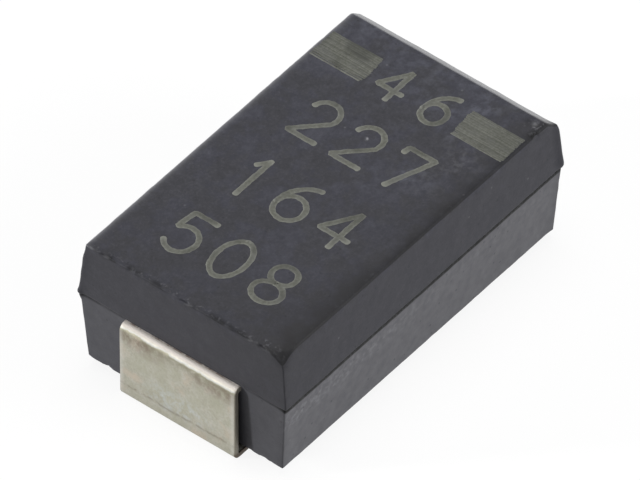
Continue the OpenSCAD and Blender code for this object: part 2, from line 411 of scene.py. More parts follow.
@dataclass(frozen=True)
class TinPlate:
    """Matt tin electroplate over nickel-iron strip.

    Warm grey, mottled green and beige where handling has dulled it. The bend carries a paler band
    with a wavy, bluish lower edge, partly burnished by the forming tool and partly a painted
    highlight, with a dark line of painted shadow under it. Brown smudges lie under the band, bluish
    scrapes lie on the lower half, and the edges of the strip are paler, a painted highlight on
    their rounding. The shoulder is duller and painted lighter, a painted highlight of the light
    from above.
    The cut side at the foot is brown, partly bare iron and partly painted shadow.

    Attributes:
        face: Distance of the riser's outer face from the middle, in millimetres.
        top: Height of the shoulder.
        half_width: Half the width of the strip.
        sizes: Sizes of the waves, mottles, streaks and grains.
        sway: How far the waves and mottles shift the band's lower edge.
        roughness: Roughness of the plate.
        metallic: How metallic the riser is.
        dulled: How metallic the shoulder is.
    """

    face: float
    top: float
    half_width: float
    sizes: tuple[float, float, float, float] = (0.5, 0.17, 0.11, 0.045)
    sway: float = 0.16
    roughness: float = 0.54
    metallic: float = 0.85
    dulled: float = 0.45

    def material(self) -> bpy.types.Material:
        """Builds the node material."""
        material, tree = new_material("matt_tin_plate")
        place = add_node(tree, "TexCoord", out="Object")
        wave, mottle, streak, fine = (
            add_node(tree, "TexNoise", {"Scale": per_metre(size), "Detail": 4.0, "Roughness": 0.62},
                     {"Vector": place}) for size in self.sizes)
        axes = add_node(tree, "SeparateXYZ", links={0: place}).node.outputs
        along, side = (add_node(tree, "Math", {"operation": "ABSOLUTE"}, {0: axes[axis]})
                       for axis in "XY")
        ripple = add_node(tree, "Math", {"operation": "MULTIPLY_ADD", 1: 0.35, 2: -0.175},
                          {0: mottle})
        ripple = add_node(tree, "Math", {"operation": "ADD"}, {0: wave, 1: ripple})
        wavy = add_node(tree, "Math", {"operation": "MULTIPLY_ADD", 1: self.sway * MM},
                        {0: ripple, 2: axes["Z"]})
        lengths = {"along": along, "side": side, "height": axes["Z"], "wavy": wavy}
        noises = {"wave": wave, "mottle": mottle, "streak": streak}
        ground, grains = (
            add_node(tree, "ValToRGB", {"stops": stops}, {0: noise}) for noise, stops in (
                (mottle, [(0.33, "9d9b8b"), (0.50, "aaa899"), (0.66, "b5b3a9")]),
                (fine, [(0.32, "95938a"), (0.65, "b9b6ab")])))
        colour = add_node(tree, "Mix", {"data_type": "RGBA", 0: 0.45}, {6: ground, 7: grains})
        for tone, most, limits in self.layers():
            amount = None
            for source, start, end in limits:
                unit = MM if source in lengths else 1.0
                limit = start * unit, end * unit, 0, 1 if amount else most
                share = add_node(tree, "MapRange", dict(zip(RANGE, limit)),
                                 {"Value": {**lengths, **noises}[source]})
                amount = share if amount is None else add_node(
                    tree, "Math", {"operation": "MULTIPLY"}, {0: amount, 1: share})
            colour = add_node(tree, "Mix", {"data_type": "RGBA", 7: tone}, {0: amount, 6: colour})
        rough = add_node(tree, "MapRange", {"To Min": self.roughness - 0.06,
                                            "To Max": self.roughness + 0.10}, {"Value": mottle})
        limit = (self.face - 0.03) * MM, (self.face - 0.085) * MM, self.metallic, self.dulled
        bare = add_node(tree, "MapRange", dict(zip(RANGE, limit)), {"Value": along})
        close_tree(tree, [(fine, 0.003)], {}, {
            "Base Color": colour, "Roughness": rough, "Metallic": bare}, strength=0.35)
        return material

    def layers(self) -> list[tuple[str, float, list[tuple[str, float, float]]]]:
        """Colours laid over the ground, from the lowest to the topmost.

        Returns:
            For each, its colour, its greatest share, and its limits: a noise, or a length in
            millimetres, with the values at which the share is 0 and full.
        """
        band = self.top + 0.02
        stain = 0.38
        rim = self.half_width
        return [
            ("a09f8d", 0.9, [("wave", 0.45, 0.62), ("height", -1.0, 2.0)]),
            ("b7ab9b", 0.68, [("wave", 0.47, 0.35)]),
            ("78685a", 0.95, [("wavy", band - 0.40, band - 0.05), ("side", 0.15, 0.50),
                              ("mottle", 0.38, 0.58)]),
            ("85806f", 0.75, [("wavy", band - 0.26, band - 0.02), ("streak", 0.36, 0.60)]),
            ("bec4c8", 0.66, [("wavy", 0.25, 0.50), ("wavy", 0.98, 0.60), ("streak", 0.43, 0.70),
                              ("side", 0.85, 0.30)]),
            ("8f8c7e", 0.20, [("wavy", 0.62, 0.34)]),
            ("6f6556", 0.55, [("wavy", stain - 0.04, stain), ("wavy", stain + 0.04, stain),
                              ("streak", 0.38, 0.56)]),
            # Painted highlight along the strip's rounded edges.
            ("c0bfba", 0.38, [("side", rim - 0.11, rim - 0.05)]),
            # A dark line of painted shadow under the bend's band, then the band with its bluish
            # lower edge, partly burnished and partly painted highlight.
            ("7c7a6a", 0.85, [("wavy", band - 0.055, band - 0.015),
                              ("wavy", band + 0.004, band - 0.006)]),
            ("a3a095", 0.9, [("wavy", band - 0.014, band + 0.010)]),
            ("bab6aa", 0.7, [("wavy", band, band + 0.02), ("mottle", 0.44, 0.60)]),
            ("8b8f92", 0.55, [("wavy", band - 0.010, band + 0.006),
                              ("wavy", band + 0.034, band + 0.014)]),
            # Painted highlight on the shoulder, for the light that falls on it from above.
            ("dbd4cd", 0.92, [("along", self.face - 0.024, self.face - 0.066),
                              ("height", self.top - 0.1, self.top - 0.05)]),
            ("6b5546", 0.75, [("along", self.face - 0.122, self.face - 0.136),
                              ("height", self.top - 0.2, self.top - 0.1),
                              ("mottle", 0.40, 0.56)]),
            ("8f8c80", 0.30, [("side", rim - 0.035, rim - 0.012)]),
            ("7f7a6f", 0.88, [("side", rim - 0.006, rim - 0.001)]),
            # Brown cut side at the foot: bare iron, darkened further by painted shadow.
            ("594c40", 0.9, [("side", rim - 0.02, rim - 0.008), ("height", 0.17, 0.10)]),
        ]


@dataclass(frozen=True)
class BurntEpoxy:
    """Epoxy burnt by a marking laser.

    Olive grey and dull, because the resin is burnt off and bare filler is left. A trace is a
    little darker down its middle and paler along its rims. Its tone says where the beam stayed
    longer and burnt it lighter, or passed fast and left it faint.

    Attributes:
        grain: Size of the grains of filler in millimetres.
        patch: Size of the greyer patches.
    """

    grain: float = 0.045
    patch: float = 0.35

    def material(self) -> bpy.types.Material:
        """Builds the node material."""
        material, tree = new_material("laser_burnt_epoxy")
        place = add_node(tree, "TexCoord", out="Object")
        fine, patch = (add_node(tree, "TexNoise", {"Scale": per_metre(size), "Detail": detail},
                                {"Vector": place})
                       for size, detail in ((self.grain, 3.0), (self.patch, 2.0)))
        across, tone = (add_node(tree, "Attribute", {"attribute_name": name}, out="Fac")
                        for name in ("across", "tone"))
        colour = add_node(tree, "ValToRGB", {"stops": [
            (0.30, "64655c"), (0.50, "70716a"), (0.72, "7e7f78")]}, {0: fine})
        for value, limits, shade in (
                (patch, (0.45, 0.75, 0, 0.60), "6d6e6d"), (across, (0.6, 0.0, 0, 0.38), "585950"),
                (across, (0.55, 0.85, 0, 0.45), "85867f"), (tone, (0.0, -1.0, 0, 0.90), "3c3d39"),
                (tone, (0.0, 1.0, 0, 0.90), "8f9088")):
            amount = add_node(tree, "MapRange", dict(zip(RANGE, limits)), {"Value": value})
            colour = add_node(tree, "Mix", {"data_type": "RGBA", 7: shade}, {0: amount, 6: colour})
        close_tree(tree, [(fine, 0.004)], {"Specular IOR Level": 0.22, "Roughness": 0.8},
                   {"Base Color": colour})
        return material


@dataclass(frozen=True)
class GrainedSolid:
    """Plain finish with a two-tone grain, for a piece sealed inside the case.

    The grain tells drawn wire, sintered powder, paint and filled glue apart by its size.

    Attributes:
        name: Name of the material.
        dark: Colour of the grain's hollows.
        light: Colour of its crests.
        grain: Size of the grain in millimetres.
        roughness: Roughness of the surface.
        metallic: 1 for metal, 0 for the rest.
    """

    name: str
    dark: str
    light: str
    grain: float
    roughness: float
    metallic: float = 0.0

    def material(self) -> bpy.types.Material:
        """Builds the node material."""
        material, tree = new_material(self.name)
        place = add_node(tree, "TexCoord", out="Object")
        fine = add_node(tree, "TexNoise", {"Scale": per_metre(self.grain), "Detail": 4.0},
                        {"Vector": place})
        colour = add_node(tree, "ValToRGB", {"stops": [(0.3, self.dark), (0.7, self.light)]},
                          {0: fine})
        close_tree(tree, [(fine, 0.1 * self.grain)], {
            "Roughness": self.roughness, "Metallic": self.metallic}, {"Base Color": colour})
        return material


# ---------------------------------------------------------------- case


@dataclass(frozen=True)
class Sides:
    """A value for each side of the case, blended where two sides meet.

    Attributes:
        anode: Value at the +X end.
        cathode: Value at the -X end.
        left: Value along the +Y side.
        right: Value along the -Y side.
    """

    anode: float
    cathode: float
    left: float
    right: float

    def at(self, share: Array) -> Array:
        """Value at vertices whose nearness to the four sides is given."""
        return share @ np.array([self.anode, self.cathode, self.left, self.right])


@dataclass(frozen=True)
class Skin:
    """Vertices of the case's skin, and how each one lies on it.

    Attributes:
        points: Places in millimetres.
        inward: Distance in from the outline.
        share: Nearness to the four sides, in the order of Sides.
        is_top: Whether it is on the top face or the bevel.
        is_bottom: Whether it is on the bottom face.
        corner_run: Distance along the wall from an upright corner.
    """

    points: Array
    inward: Array
    share: Array
    is_top: Array
    is_bottom: Array
    corner_run: Array


@dataclass
class MouldedCase:
    """The epoxy case: two drafted halves, a ledge between them and a bevelled anode end.

    Lengths are in millimetres and drafts in degrees. A pair of drafts is for the ends and for
    the long sides.

    Attributes:
        half_length: Half the length at the parting line.
        half_width: Half the width at the parting line.
        top: Height of the top face.
        pad_bottom: Height of the glue pad's underside.
        parting: Height of the parting line.
        bottom: Height of the bottom face.
        upper_draft: Drafts of the upper half.
        lower_draft: Drafts of the lower half.
        anode_draft: Draft of the upper half's anode end.
        ledge: How far the lower half stands in.
        mismatch: Shift of the lower half along X and Y.
        left_swell: How much wider the upper half is at its left side's middle, as a share.
        parting_wave: How far the parting line wanders up and down.
        groove: How deep the parting line is drawn in.
        bevel: Distance in from the top edge at which the bevel begins.
        bevel_slope: Fall of the bevel over each millimetre.
        corner_radius: Radius of the upright corners.
        edge: Radius of the top edges.
        bottom_edge: Radius of the bottom edges.
        bottom_corner: How much larger it gets where two sides meet, at the cathode's left.
        worn_down: How far the worn corner is worn down.
        worn_reach: How far around the corner that reaches.
        pad_half: Half the side of the glue pad.
        step: Distance between the grid lines of the faces.
        margin: Width of the rim in which the lines are closer.
        rim_tone: How dark the painted shade of the rounded top edges is.
        rim_reach: How far that painted shade reaches in from the edges.
        seam_tone: How dark the painted shadow and dirt under the parting line are.
        seam_reach: How far that line reaches down.
        pitting: How strongly the edges are pitted.
        polish: How smooth the skin is where a bare mould wall formed the edge.
    """

    half_length: float
    half_width: float
    top: float
    pad_bottom: float
    parting: float = 1.62
    bottom: float = 0.170
    upper_draft: tuple[float, float] = (2.3, 5.1)
    lower_draft: tuple[float, float] = (2.4, 3.8)
    anode_draft: float = 1.6
    ledge: Sides = Sides(-0.019, 0.02, 0.02, 0.02)
    mismatch: tuple[float, float] = (-0.016, 0.004)
    left_swell: float = 0.003
    parting_wave: float = 0.013
    groove: Sides = Sides(0.010, 0.008, 0.018, 0.024)
    bevel: float = 0.226
    bevel_slope: float = 0.86
    corner_radius: float = 0.024
    edge: Sides = Sides(0.02, 0.04, 0.04, 0.045)
    bottom_edge: float = 0.008
    bottom_corner: float = 0.13
    worn_down: float = 0.15
    worn_reach: float = 0.17
    pad_half: float = 1.75
    step: float = 0.038
    margin: float = 0.14
    rim_tone: Sides = Sides(0.0, 0.34, 0.1, 0.60)
    rim_reach: Sides = Sides(0.03, 0.055, 0.05, 0.13)
    seam_tone: Sides = Sides(0.5, 0.35, 0.6, 0.96)
    seam_reach: Sides = Sides(0.05, 0.05, 0.08, 0.112)
    pitting: Sides = Sides(0.05, 1.0, 0.10, 0.10)
    polish: Sides = Sides(1.0, 0.0, 1.0, 0.0)

    @classmethod
    def from_frame(cls) -> "MouldedCase":
        """Takes the outer sizes from the CAD case."""
        low, high = box_mm("moulded_case")
        return cls(half_length=high[0], half_width=high[1], top=high[2], pad_bottom=low[2])

    def lines(self, half: float, creases: tuple[float, ...]) -> Array:
        """Grid lines across the case: even between the ends, and close together at the rim.

        Args:
            half: Half the width that the lines cross.
            creases: Places where lines are added on both sides of a fold.

        Returns:
            The places in rising order.
        """
        rim = np.array([0, 0.003, 0.008, 0.015, 0.024, 0.036, 0.052, 0.074, 0.104])
        inner = half - self.margin
        even = np.linspace(-inner, inner, round(2 * inner / self.step) + 1)
        folds = [crease + side for crease in creases for side in (-0.006, 0.006)]
        return np.unique(np.concatenate([rim - half, even, folds, half - rim]))

    def levels(self) -> Array:
        """Heights of the grid lines round the walls, close together at the lips and edges."""
        lower = np.linspace(self.bottom + 0.05, self.parting - 0.18, 24)
        lips = self.parting - np.array([
            0.152, 0.134, 0.120, 0.108, 0.096, 0.084, 0.072, 0.060, 0.046, 0.031, 0.021, 0.012,
            0.004, -0.002, -0.008, -0.018, -0.034])
        upper = np.linspace(self.parting + 0.06, self.top - 0.05, 21)
        ends = np.array([0, 0.008, 0.024])
        return np.sort(np.concatenate([self.bottom + ends, lower, lips, upper, self.top - ends]))

    def inset(self, draft: float) -> float:
        """How far the upper half has drawn in at the top, at a draft in degrees."""
        return (self.top - self.parting) * slope(draft)

    def bevel_start(self) -> float:
        """Distance along X at which the bevel leaves the top face."""
        return self.half_length - self.inset(self.upper_draft[0]) - self.bevel

    def top_half_width(self) -> float:
        """Half the width of the top face."""
        return self.half_width - self.inset(self.upper_draft[1])

    def chip_at(self) -> Array:
        """Place of the chip in the right top edge, near the bevel."""
        return np.array([self.bevel_start() - 0.33, -self.top_half_width() + 0.02, self.top])

    def near_worn_corner(self, points: Array, reach: float) -> Array:
        """Nearness, from 0 to 1, to the worn top corner of the cathode end's right side."""
        along = self.inset(self.upper_draft[0]) - self.half_length
        return spot(points, np.array([along, -self.top_half_width(), self.top]), reach)

    def roof(self, x: Array) -> Array:
        """Height of the top face or the bevel at a distance along the case."""
        return self.top - self.bevel_slope * soft_positive(x - self.bevel_start(), 0.02)

    def skin_height(self, points: Array) -> Array:
        """Height of the moulded skin's unevenness: slow waves and a finer grain."""
        return 0.004 * layered_noise(points, 0.9, 11) + 0.003 * lattice_noise(points, 0.16, 23)

    def surface(self, x: Array, y: Array) -> Array:
        """Height of the top face's real skin, for what lies on it."""
        flat = np.stack([x, y, np.full_like(x, self.top)], axis=-1)
        return self.top + self.skin_height(flat)

    def shell(self) -> tuple[Array, Array, dict[str, Array]]:
        """Skin of the case as a bent box lattice, raised and worn along its normals.

        Returns:
            The vertices in millimetres, the quads, and the tones of the skin.
        """
        xs = self.lines(self.half_length, (self.bevel_start(), -self.pad_half, self.pad_half))
        ys = self.lines(self.half_width, (-self.pad_half, self.pad_half))
        zs = self.levels()
        ids = np.arange(len(xs) * len(ys) * len(zs)).reshape(len(xs), len(ys), len(zs))
        walls = [ids[:, :, -1], ids[:, :, 0].T, ids[-1], ids[0].T, ids[:, -1].T, ids[:, 0]]
        quads = np.concatenate([grid_faces(wall) for wall in walls])
        used, quads = np.unique(quads, return_inverse=True)
        quads = quads.reshape(-1, 4)
        i, j, k = np.unravel_index(used, ids.shape)
        skin = self.bend(xs[i], ys[j], zs[k], k == len(zs) - 1, k == 0)
        raised = self.skin_height(skin.points) - self.wear(skin)
        points = skin.points + vertex_normals(skin.points, quads) * raised[:, None]
        return points, quads, self.tones(skin)

    def bend(self, x: Array, y: Array, z: Array, is_top: Array, is_bottom: Array) -> Skin:
        """Bends the outside vertices of a box lattice to the case's form.

        They are drawn in by the draft of their height, the upright corners are bent from
        squares to quarter circles, the rims of the top and bottom follow quarter circles of
        the edge radii, and everything above the parting line is squeezed under the roof, which
        falls off past the start of the bevel.

        Args:
            x: Places along the case at the parting line.
            y: Places across the case at the parting line.
            z: Heights of the lattice levels.
            is_top: Whether a vertex is on the lattice's top.
            is_bottom: Whether a vertex is on the lattice's bottom.

        Returns:
            The bent vertices, and how each one lies on the skin.
        """
        blend, lip_half, flare = 0.05, 0.024, 0.006
        parting, upper_height = self.parting, self.top - self.parting
        plan = np.column_stack([x, y, 0 * z])
        rise, above = np.abs(z - parting), z > parting
        reach = np.column_stack([self.half_length - x, self.half_length + x,
                                 self.half_width - y, self.half_width + y])
        share = np.exp(-(reach - reach.min(axis=1, keepdims=True)) / blend)
        share /= share.sum(axis=1, keepdims=True)
        uneven = 0.75 + 0.5 * lattice_noise(plan, 0.33, 71)
        lip = bell(parting - z, lip_half) * self.groove.at(share) * uneven
        drawn_in = np.where(above, flare * np.exp(-rise / flare), self.ledge.at(share) + lip)
        slopes = [np.where(above, slope(upper), slope(lower))
                  for upper, lower in zip(self.upper_draft, self.lower_draft)]
        slopes[0] = np.where(above & (x > 0), slope(self.anode_draft), slopes[0])
        half = np.stack([self.half_length - drawn_in - rise * slopes[0],
                         self.half_width - drawn_in - rise * slopes[1]], axis=-1)
        flat = np.stack([x, y], axis=-1) / np.array([self.half_length, self.half_width]) * half
        size = np.abs(flat)
        core = np.minimum(size, half - self.corner_radius)
        arm = size - core
        longest = arm.max(axis=-1, keepdims=True)
        arm *= longest / np.maximum(np.linalg.norm(arm, axis=-1, keepdims=True), 1e-9)
        flat = np.sign(flat) * (core + arm)
        swell = np.where(above & (y > 0), self.left_swell * (1 + x / self.half_length), 0)
        flat[:, 1] *= 1 + swell
        inward = np.where((size > half - self.corner_radius).all(axis=-1),
                          self.corner_radius - longest[:, 0], (half - size).min(axis=-1))
        lower_edge = self.bottom_edge + self.bottom_corner * share[:, 1] * share[:, 2]
        radius = np.where(above, self.edge.at(share), lower_edge)
        drop = radius - np.sqrt(radius**2 - (radius - np.clip(inward, 0, radius)) ** 2)
        head = self.top - np.where(is_top, drop, np.minimum(radius, upper_height))
        foot = self.bottom + np.where(is_bottom, drop, radius)
        z_up = parting + (z - parting) * (head - parting) / upper_height
        z_down = foot + (z - self.bottom) * (parting - foot) / (parting - self.bottom)
        z = np.where(above, z_up, z_down)
        pad = 1 - smooth_step(np.abs(flat).max(axis=-1), self.pad_half - 0.006,
                              self.pad_half + 0.006)
        z = z - np.where(is_bottom, pad * (self.bottom - self.pad_bottom), 0)
        squeeze = (self.roof(flat[:, 0]) - parting) / upper_height
        z = np.where(above, parting + (z - parting) * squeeze, z)
        flat = flat + np.where(above, 0.0, 1.0)[:, None] * np.array(self.mismatch)
        z = z + bell(z - parting, blend) * self.parting_wave * layered_noise(plan, 0.45, 5)
        z = z - self.worn_down * self.near_worn_corner(np.column_stack([flat, z]),
                                                       self.worn_reach)
        corner_run = np.hypot(self.half_length - np.abs(x), self.half_width - np.abs(y))
        return Skin(np.column_stack([flat, z]), inward, share, is_top, is_bottom, corner_run)

    def darkened(self, skin: Skin, below: Array) -> Array:
        """How dark the skin is painted: shade at its edges, seam and corners, and blotches.

        The painted shade of the top's rounded rim falls off with the distance in from the edge
        over the reach of its side, which a noise widens and narrows. Under the parting line a
        dark line goes down to the seam's reach: a painted shadow under the upper half, with some
        dirt. The cathode end's top edge is blotched, and the worn corner and the upright edge
        under it get painted shade.

        Args:
            skin: Vertices of the skin.
            below: Whether each one is under the parting line, from 0 to 1.

        Returns:
            The darkness of each vertex.
        """
        points, share, is_top = skin.points, skin.share, skin.is_top
        is_wall = ~(is_top | skin.is_bottom)
        x, y, z = points.T
        flat = points * [1, 1, 0]
        cathode, right = share[:, 1], share[:, 3]
        # The rim gets broader and fainter over the last 3 mm towards the cathode, and broken
        # everywhere but on the right.
        near_end = smooth_step(-x, 0.0, 3.0) * right
        worn = self.near_worn_corner(points, 0.32)
        reach = self.rim_reach.at(share) * (1 + 0.6 * layered_noise(flat, 0.30, 83) + 0.6 * worn)
        breaks = 0.72 + 0.5 * lattice_noise(flat, 0.13, 103)
        reach *= 1 + 1.2 * near_end
        rim = self.rim_tone.at(share) * np.exp(-((np.maximum(skin.inward, 0) / reach) ** 1.4))
        rim *= (breaks + (1 - breaks) * right) * (1 - 0.45 * near_end)
        # The seam is darkest near the upright corners of the cathode end.
        under, reach = self.parting - z, self.seam_reach.at(share)
        seam = smooth_step(under, reach + 0.022, reach - 0.012) * (under > -0.004) * is_wall
        seam *= self.seam_tone.at(share) + 0.4 * bell(skin.corner_run, 0.35) * cathode
        seam *= 1 - (0.15 - 0.3 * lattice_noise(flat, 0.16, 97)) * (1 - right)
        blotches = smooth_step(layered_noise(points, 0.19, 113), -0.12, 0.34) * ~skin.is_bottom
        blotches *= 0.74 * cathode * np.where(is_top, bell(skin.inward, 0.085),
                                              bell(self.roof(x) - z, 0.05))
        # Painted shade down the upright edge under the worn corner.
        upright = bell(skin.corner_run, 0.08) * is_wall * (x < 0) * (y < 0)
        return (np.maximum(np.where(is_top, rim, seam), blotches) + 0.42 * worn**2
                + upright * (cathode + right) * (0.15 - 0.04 * below))

    def patches(self) -> list[tuple[str, Array | tuple[float, ...], float, float]]:
        """Round marks on the skin.

        Returns:
            For each, its tone, its middle along X and Y or in space, its reach and its strength.
        """
        chip = self.chip_at()
        return [
            ("rim", chip, 0.06, 0.9), ("rim", chip + [0.19, 0.28, 0], 0.05, 0.5),
            ("bared", chip[:2] + [0.20, 0.10], 0.16, 1.2),
            ("scuffed", (1.72, -1.47), 0.36, 0.288), ("scuffed", (0.91, -1.30), 0.45, 0.128),
            ("pale", chip + [0.11, -0.05, 0], 0.028, 0.6),
            ("pale", chip + [0.20, 0.14, 0], 0.04, 0.4),
            ("pale", (1.18, 0.02, self.top), 0.022, 1.0),
            # Two broad blots of painted shade on the top.
            ("sooty", (-3.3, -1.7), 1.3, 0.15), ("sooty", (-0.7, -0.3), 0.9, 0.16),
        ]

    def tones(self, skin: Skin) -> dict[str, Array]:
        """Tones of the skin at each vertex.

        The polish covers the bevel and the rounding of the left edge, which are also painted pale
        as a painted reflection. The filler is bared along the pitted cathode edge. The lower half
        is paler, partly worn by handling and partly painted light from the floor below, most of all
        on the long walls, and scuffed under the parting line, more towards the cathode. A haze lies
        on the right side of the top, and painted light makes the top paler towards the anode end.
        Painted shade lies along the right edge of the top and on the cathode end.

        Args:
            skin: Vertices of the skin.

        Returns:
            The tones by attribute name, from 0 to 1.
        """
        points, share, is_top = skin.points, skin.share, skin.is_top
        x, y, z = points.T
        flat = points * [1, 1, 0]
        cathode, left, right = share[:, 1], share[:, 2], share[:, 3]
        under = self.parting - z
        below = smooth_step(under, -0.005, 0.005)
        bevel = smooth_step(x, self.bevel_start() - 0.01, self.bevel_start() + 0.02)
        shine = np.maximum(bevel, self.polish.at(share) * np.exp(-skin.inward / 0.05))
        # Filler is bared 0.06 mm in from the edge, stretch by stretch, and in a short streak
        # beside the worn corner.
        stretch = smooth_step(lattice_noise(flat, 0.55, 107), -0.1, 0.35)
        bared = self.pitting.at(share) * bell(skin.inward - 0.06, 0.045)
        bared *= (0.6 + 0.4 * stretch) * (1 - self.near_worn_corner(points, 0.32))
        bared += 1.5 * bell(x + 3.37, 0.035) * bell(y + 1.72, 0.17)
        # Scuffs lie 0.36 mm under the parting line, and get fewer towards the anode.
        scuffed = 0.8 * below * right * bell(under - 0.36, 0.22)
        scuffed *= 0.25 + 0.75 * smooth_step(-x, -1.0, 3.0)
        # A patchy haze lies along the right side, and painted light makes the top evenly
        # paler towards the anode end.
        hazed = 0.28 * bell(y + 1.15, 0.70) * smooth_step(x, -2.4, 0.8)
        hazed *= smooth_step(layered_noise(flat, 0.50, 109), -0.12, 0.36)
        hazed += 0.13 * smooth_step(x, 1.2, 3.0) * smooth_step(y, -1.5, 0.2)
        # The left edge and the bevel are painted pale, a painted reflection of the bright surround.
        pale = 1.25 * np.exp(-skin.inward / 0.032) * left
        pale += 0.36 * bevel * smooth_step(y, -2.0, -1.6)
        # Painted shade lies along the right top edge and towards the cathode. On the end wall it is
        # weaker under the parting line, where the lower half is lit from below, and weakest beside
        # the terminal, whose own shadow falls there.
        sooty = 0.58 * bell(y + self.top_half_width(), 0.52)
        sooty *= 1 - 0.28 * smooth_step(x, 0.3, 2.0)
        sooty += 0.18 * smooth_step(-x, 1.5, 3.0)
        by_terminal = 0.08 * bell(np.abs(y) - 1.24, 0.12) * below
        end_wall = 0.21 - 0.13 * below - by_terminal + 0.07 * smooth_step(-y, 0.2, 1.8)
        long_wall = smooth_step(left + right, 0.35, 0.65)
        # The lower half's paler tone is partly worn skin and partly painted light from the floor
        # below.
        tones = {"rim": self.darkened(skin, below), "polish": shine * is_top,
                 "bared": bared * is_top, "scuffed": scuffed, "pale": pale * is_top,
                 "rubbed": below * (0.22 + 0.40 * long_wall), "hazed": hazed * is_top,
                 "face": smooth_step(z - self.parting, 0.95, 1.05),
                 "sooty": np.where(is_top, sooty, cathode * end_wall)}
        for name, middle, reach, strength in self.patches():
            mask = is_top if name in ("bared", "scuffed") else 1
            tones[name] = tones[name] + strength * spot(points, middle, reach) * mask
        tones["sooty"] *= np.where(cathode > 0.5, 1, 1 - below)
        return {name: np.clip(tone, 0, 1) for name, tone in tones.items()}

    def wear(self, skin: Skin) -> Array:
        """Depth of the pits, the chip and the worn corner, less the height of the flash.

        Pits are where a noise passes a threshold, faded out away from the edge. The chip near
        the bevel is a noisy bell. Flash stands out in thin ridges up two opposite corners, and
        in a nub at the parting line of each.

        Args:
            skin: Vertices of the skin.

        Returns:
            How far each vertex goes in.
        """
        points, share, height = skin.points, skin.share, skin.points[:, 2]
        # Pits stay within 0.045 mm of an edge and are half as deep on the lower half.
        rise = np.minimum(np.abs(self.roof(points[:, 0]) - height), np.abs(height - self.bottom))
        off_edge = np.where(skin.is_top | skin.is_bottom, skin.inward, rise)
        near = bell(off_edge, 0.045) * self.pitting.at(share)
        near *= np.where(height < self.parting, 0.5, 1.0)
        pits = np.clip(layered_noise(points, 0.16, 41) - 0.02, 0, 1)
        pits *= 0.125 * near * (0.7 + 0.3 * lattice_noise(points, 0.6, 47))
        chip = 0.055 * spot(points, self.chip_at(), 0.085)
        chip *= 0.7 + 0.6 * lattice_noise(points, 0.06, 53)
        # The ridges begin at the parting line and fade out before the top.
        upper = smooth_step(height, self.parting - 0.03, self.parting + 0.07)
        upper *= smooth_step(height, self.top - 0.10, self.top - 0.34)
        flash = upper * (0.088 * share[:, 1] * share[:, 2] + 0.168 * share[:, 0] * share[:, 3])
        ragged = 1 + 0.4 * lattice_noise(points, 0.07, 59)
        for along, across, low, size in ((-1, 1, 0.03, 0.036), (1, -1, 0.0, 0.003)):
            nub = [along * self.half_length, across * self.half_width, self.parting - low]
            away = np.linalg.norm((points - nub) * [1, 1, 0.65], axis=1)
            flash += size * np.exp(-((away / 0.07) ** 3)) * ragged
        return pits + chip + 0.02 * self.near_worn_corner(points, 0.13) - flash

    def build(self, epoxy: MouldedEpoxy) -> bpy.types.Object:
        """Builds and dresses the case.

        Args:
            epoxy: Finish of the case.

        Returns:
            The case piece.
        """
        piece = make_piece("moulded_case_skin", *self.shell())
        piece.data.materials.append(epoxy.material())
        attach(piece, "root")
        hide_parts("moulded_case")
        return piece


# ---------------------------------------------------------------- lead frames


class Pole(Enum):
    """Which end of the part a lead frame serves, as the sign of its X."""

    CATHODE = -1
    ANODE = 1


